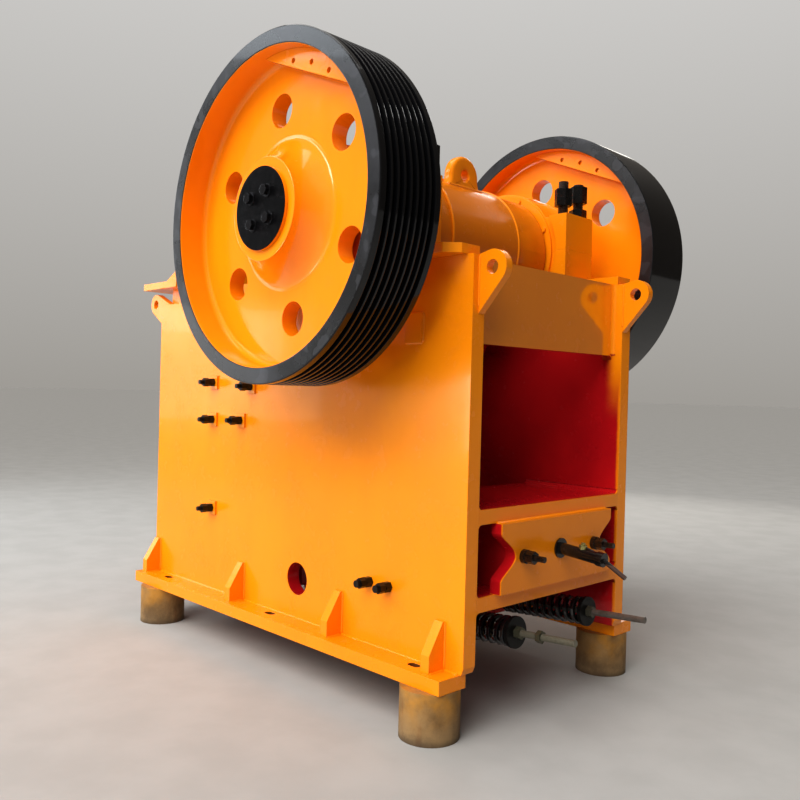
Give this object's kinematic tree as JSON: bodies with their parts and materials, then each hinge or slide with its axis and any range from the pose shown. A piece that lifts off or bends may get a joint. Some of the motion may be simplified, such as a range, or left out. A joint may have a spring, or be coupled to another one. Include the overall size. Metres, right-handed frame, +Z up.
{
  "type": "single toggle jaw crusher",
  "caption": "Orange single toggle jaw crusher with a grooved belt pulley, a flywheel, toothed jaw plates and a pitman, on short round stands.",
  "frame": {"origin": "on the floor under the four stands, at the centre of the whole machine's box", "axes": "+Z up, -X towards the feed end, +X towards the toggle and spring end, the belt pulley on the -Y side and the flywheel on the +Y side"},
  "size_m": [3.47, 2.552, 3.201],
  "materials": {
    "orange_paint": "gloss",
    "red_primer": "satin",
    "black_paint": "gloss",
    "jaw_steel": "rough",
    "bare_steel": "worn"
  },
  "bodies": {
    "frame": {"near_side_plate": "orange_paint", "far_side_plate": "orange_paint", "front_wall": "orange_paint", "front_ribs": "orange_paint", "feed_lip": "orange_paint", "rear_top_panel": "orange_paint", "upper_shelf": "orange_paint", "lower_shelf": "orange_paint", "notched_plate": "orange_paint", "near_base_flange": "orange_paint", "far_base_flange": "orange_paint", "near_gussets": "orange_paint", "far_gussets": "orange_paint", "stands": "bare_steel", "near_bearing_base": "orange_paint", "far_bearing_base": "orange_paint", "near_bearing_cap": "orange_paint", "far_bearing_cap": "orange_paint", "bearing_covers": "orange_paint", "cap_studs": "black_paint", "lifting_lugs": "orange_paint", "near_cheek_plates": "jaw_steel", "far_cheek_plates": "jaw_steel", "cheek_bolts": "black_paint", "bolt_pads": "orange_paint", "fixed_jaw": "jaw_steel", "toggle_plate": "bare_steel", "adjusting_seat": "red_primer", "seat_bolts": "black_paint", "adjusting_jack": "black_paint", "spring_brackets": "orange_paint"},
    "rotor": {"eccentric_shaft": "bare_steel", "belt_pulley": "black_paint", "flywheel": "black_paint", "hub_caps": "black_paint", "pulley_weight": "orange_paint", "flywheel_weight": "orange_paint"},
    "pitman": {"pitman": "orange_paint", "pitman_eye": "orange_paint", "swing_jaw": "jaw_steel", "jaw_clamp": "jaw_steel", "tension_rods": "bare_steel", "near_spring": "black_paint", "far_spring": "black_paint"}
  },
  "joints": [
    {"name": "shaft_spin", "type": "hinge", "parent": "frame", "child": "rotor", "pos_m": [0.491, -0.033, 2.381], "axis": [0, 1, 0], "continuous": true},
    {"name": "pitman_orbit", "type": "hinge", "parent": "rotor", "child": "pitman", "pos_m": [0.48475, -0.033, 2.36627], "axis": [0, 1, 0], "continuous": true}
  ],
  "couplings": [
    {"joint": "pitman_orbit", "follows": "shaft_spin", "ratio": -1}
  ]
}
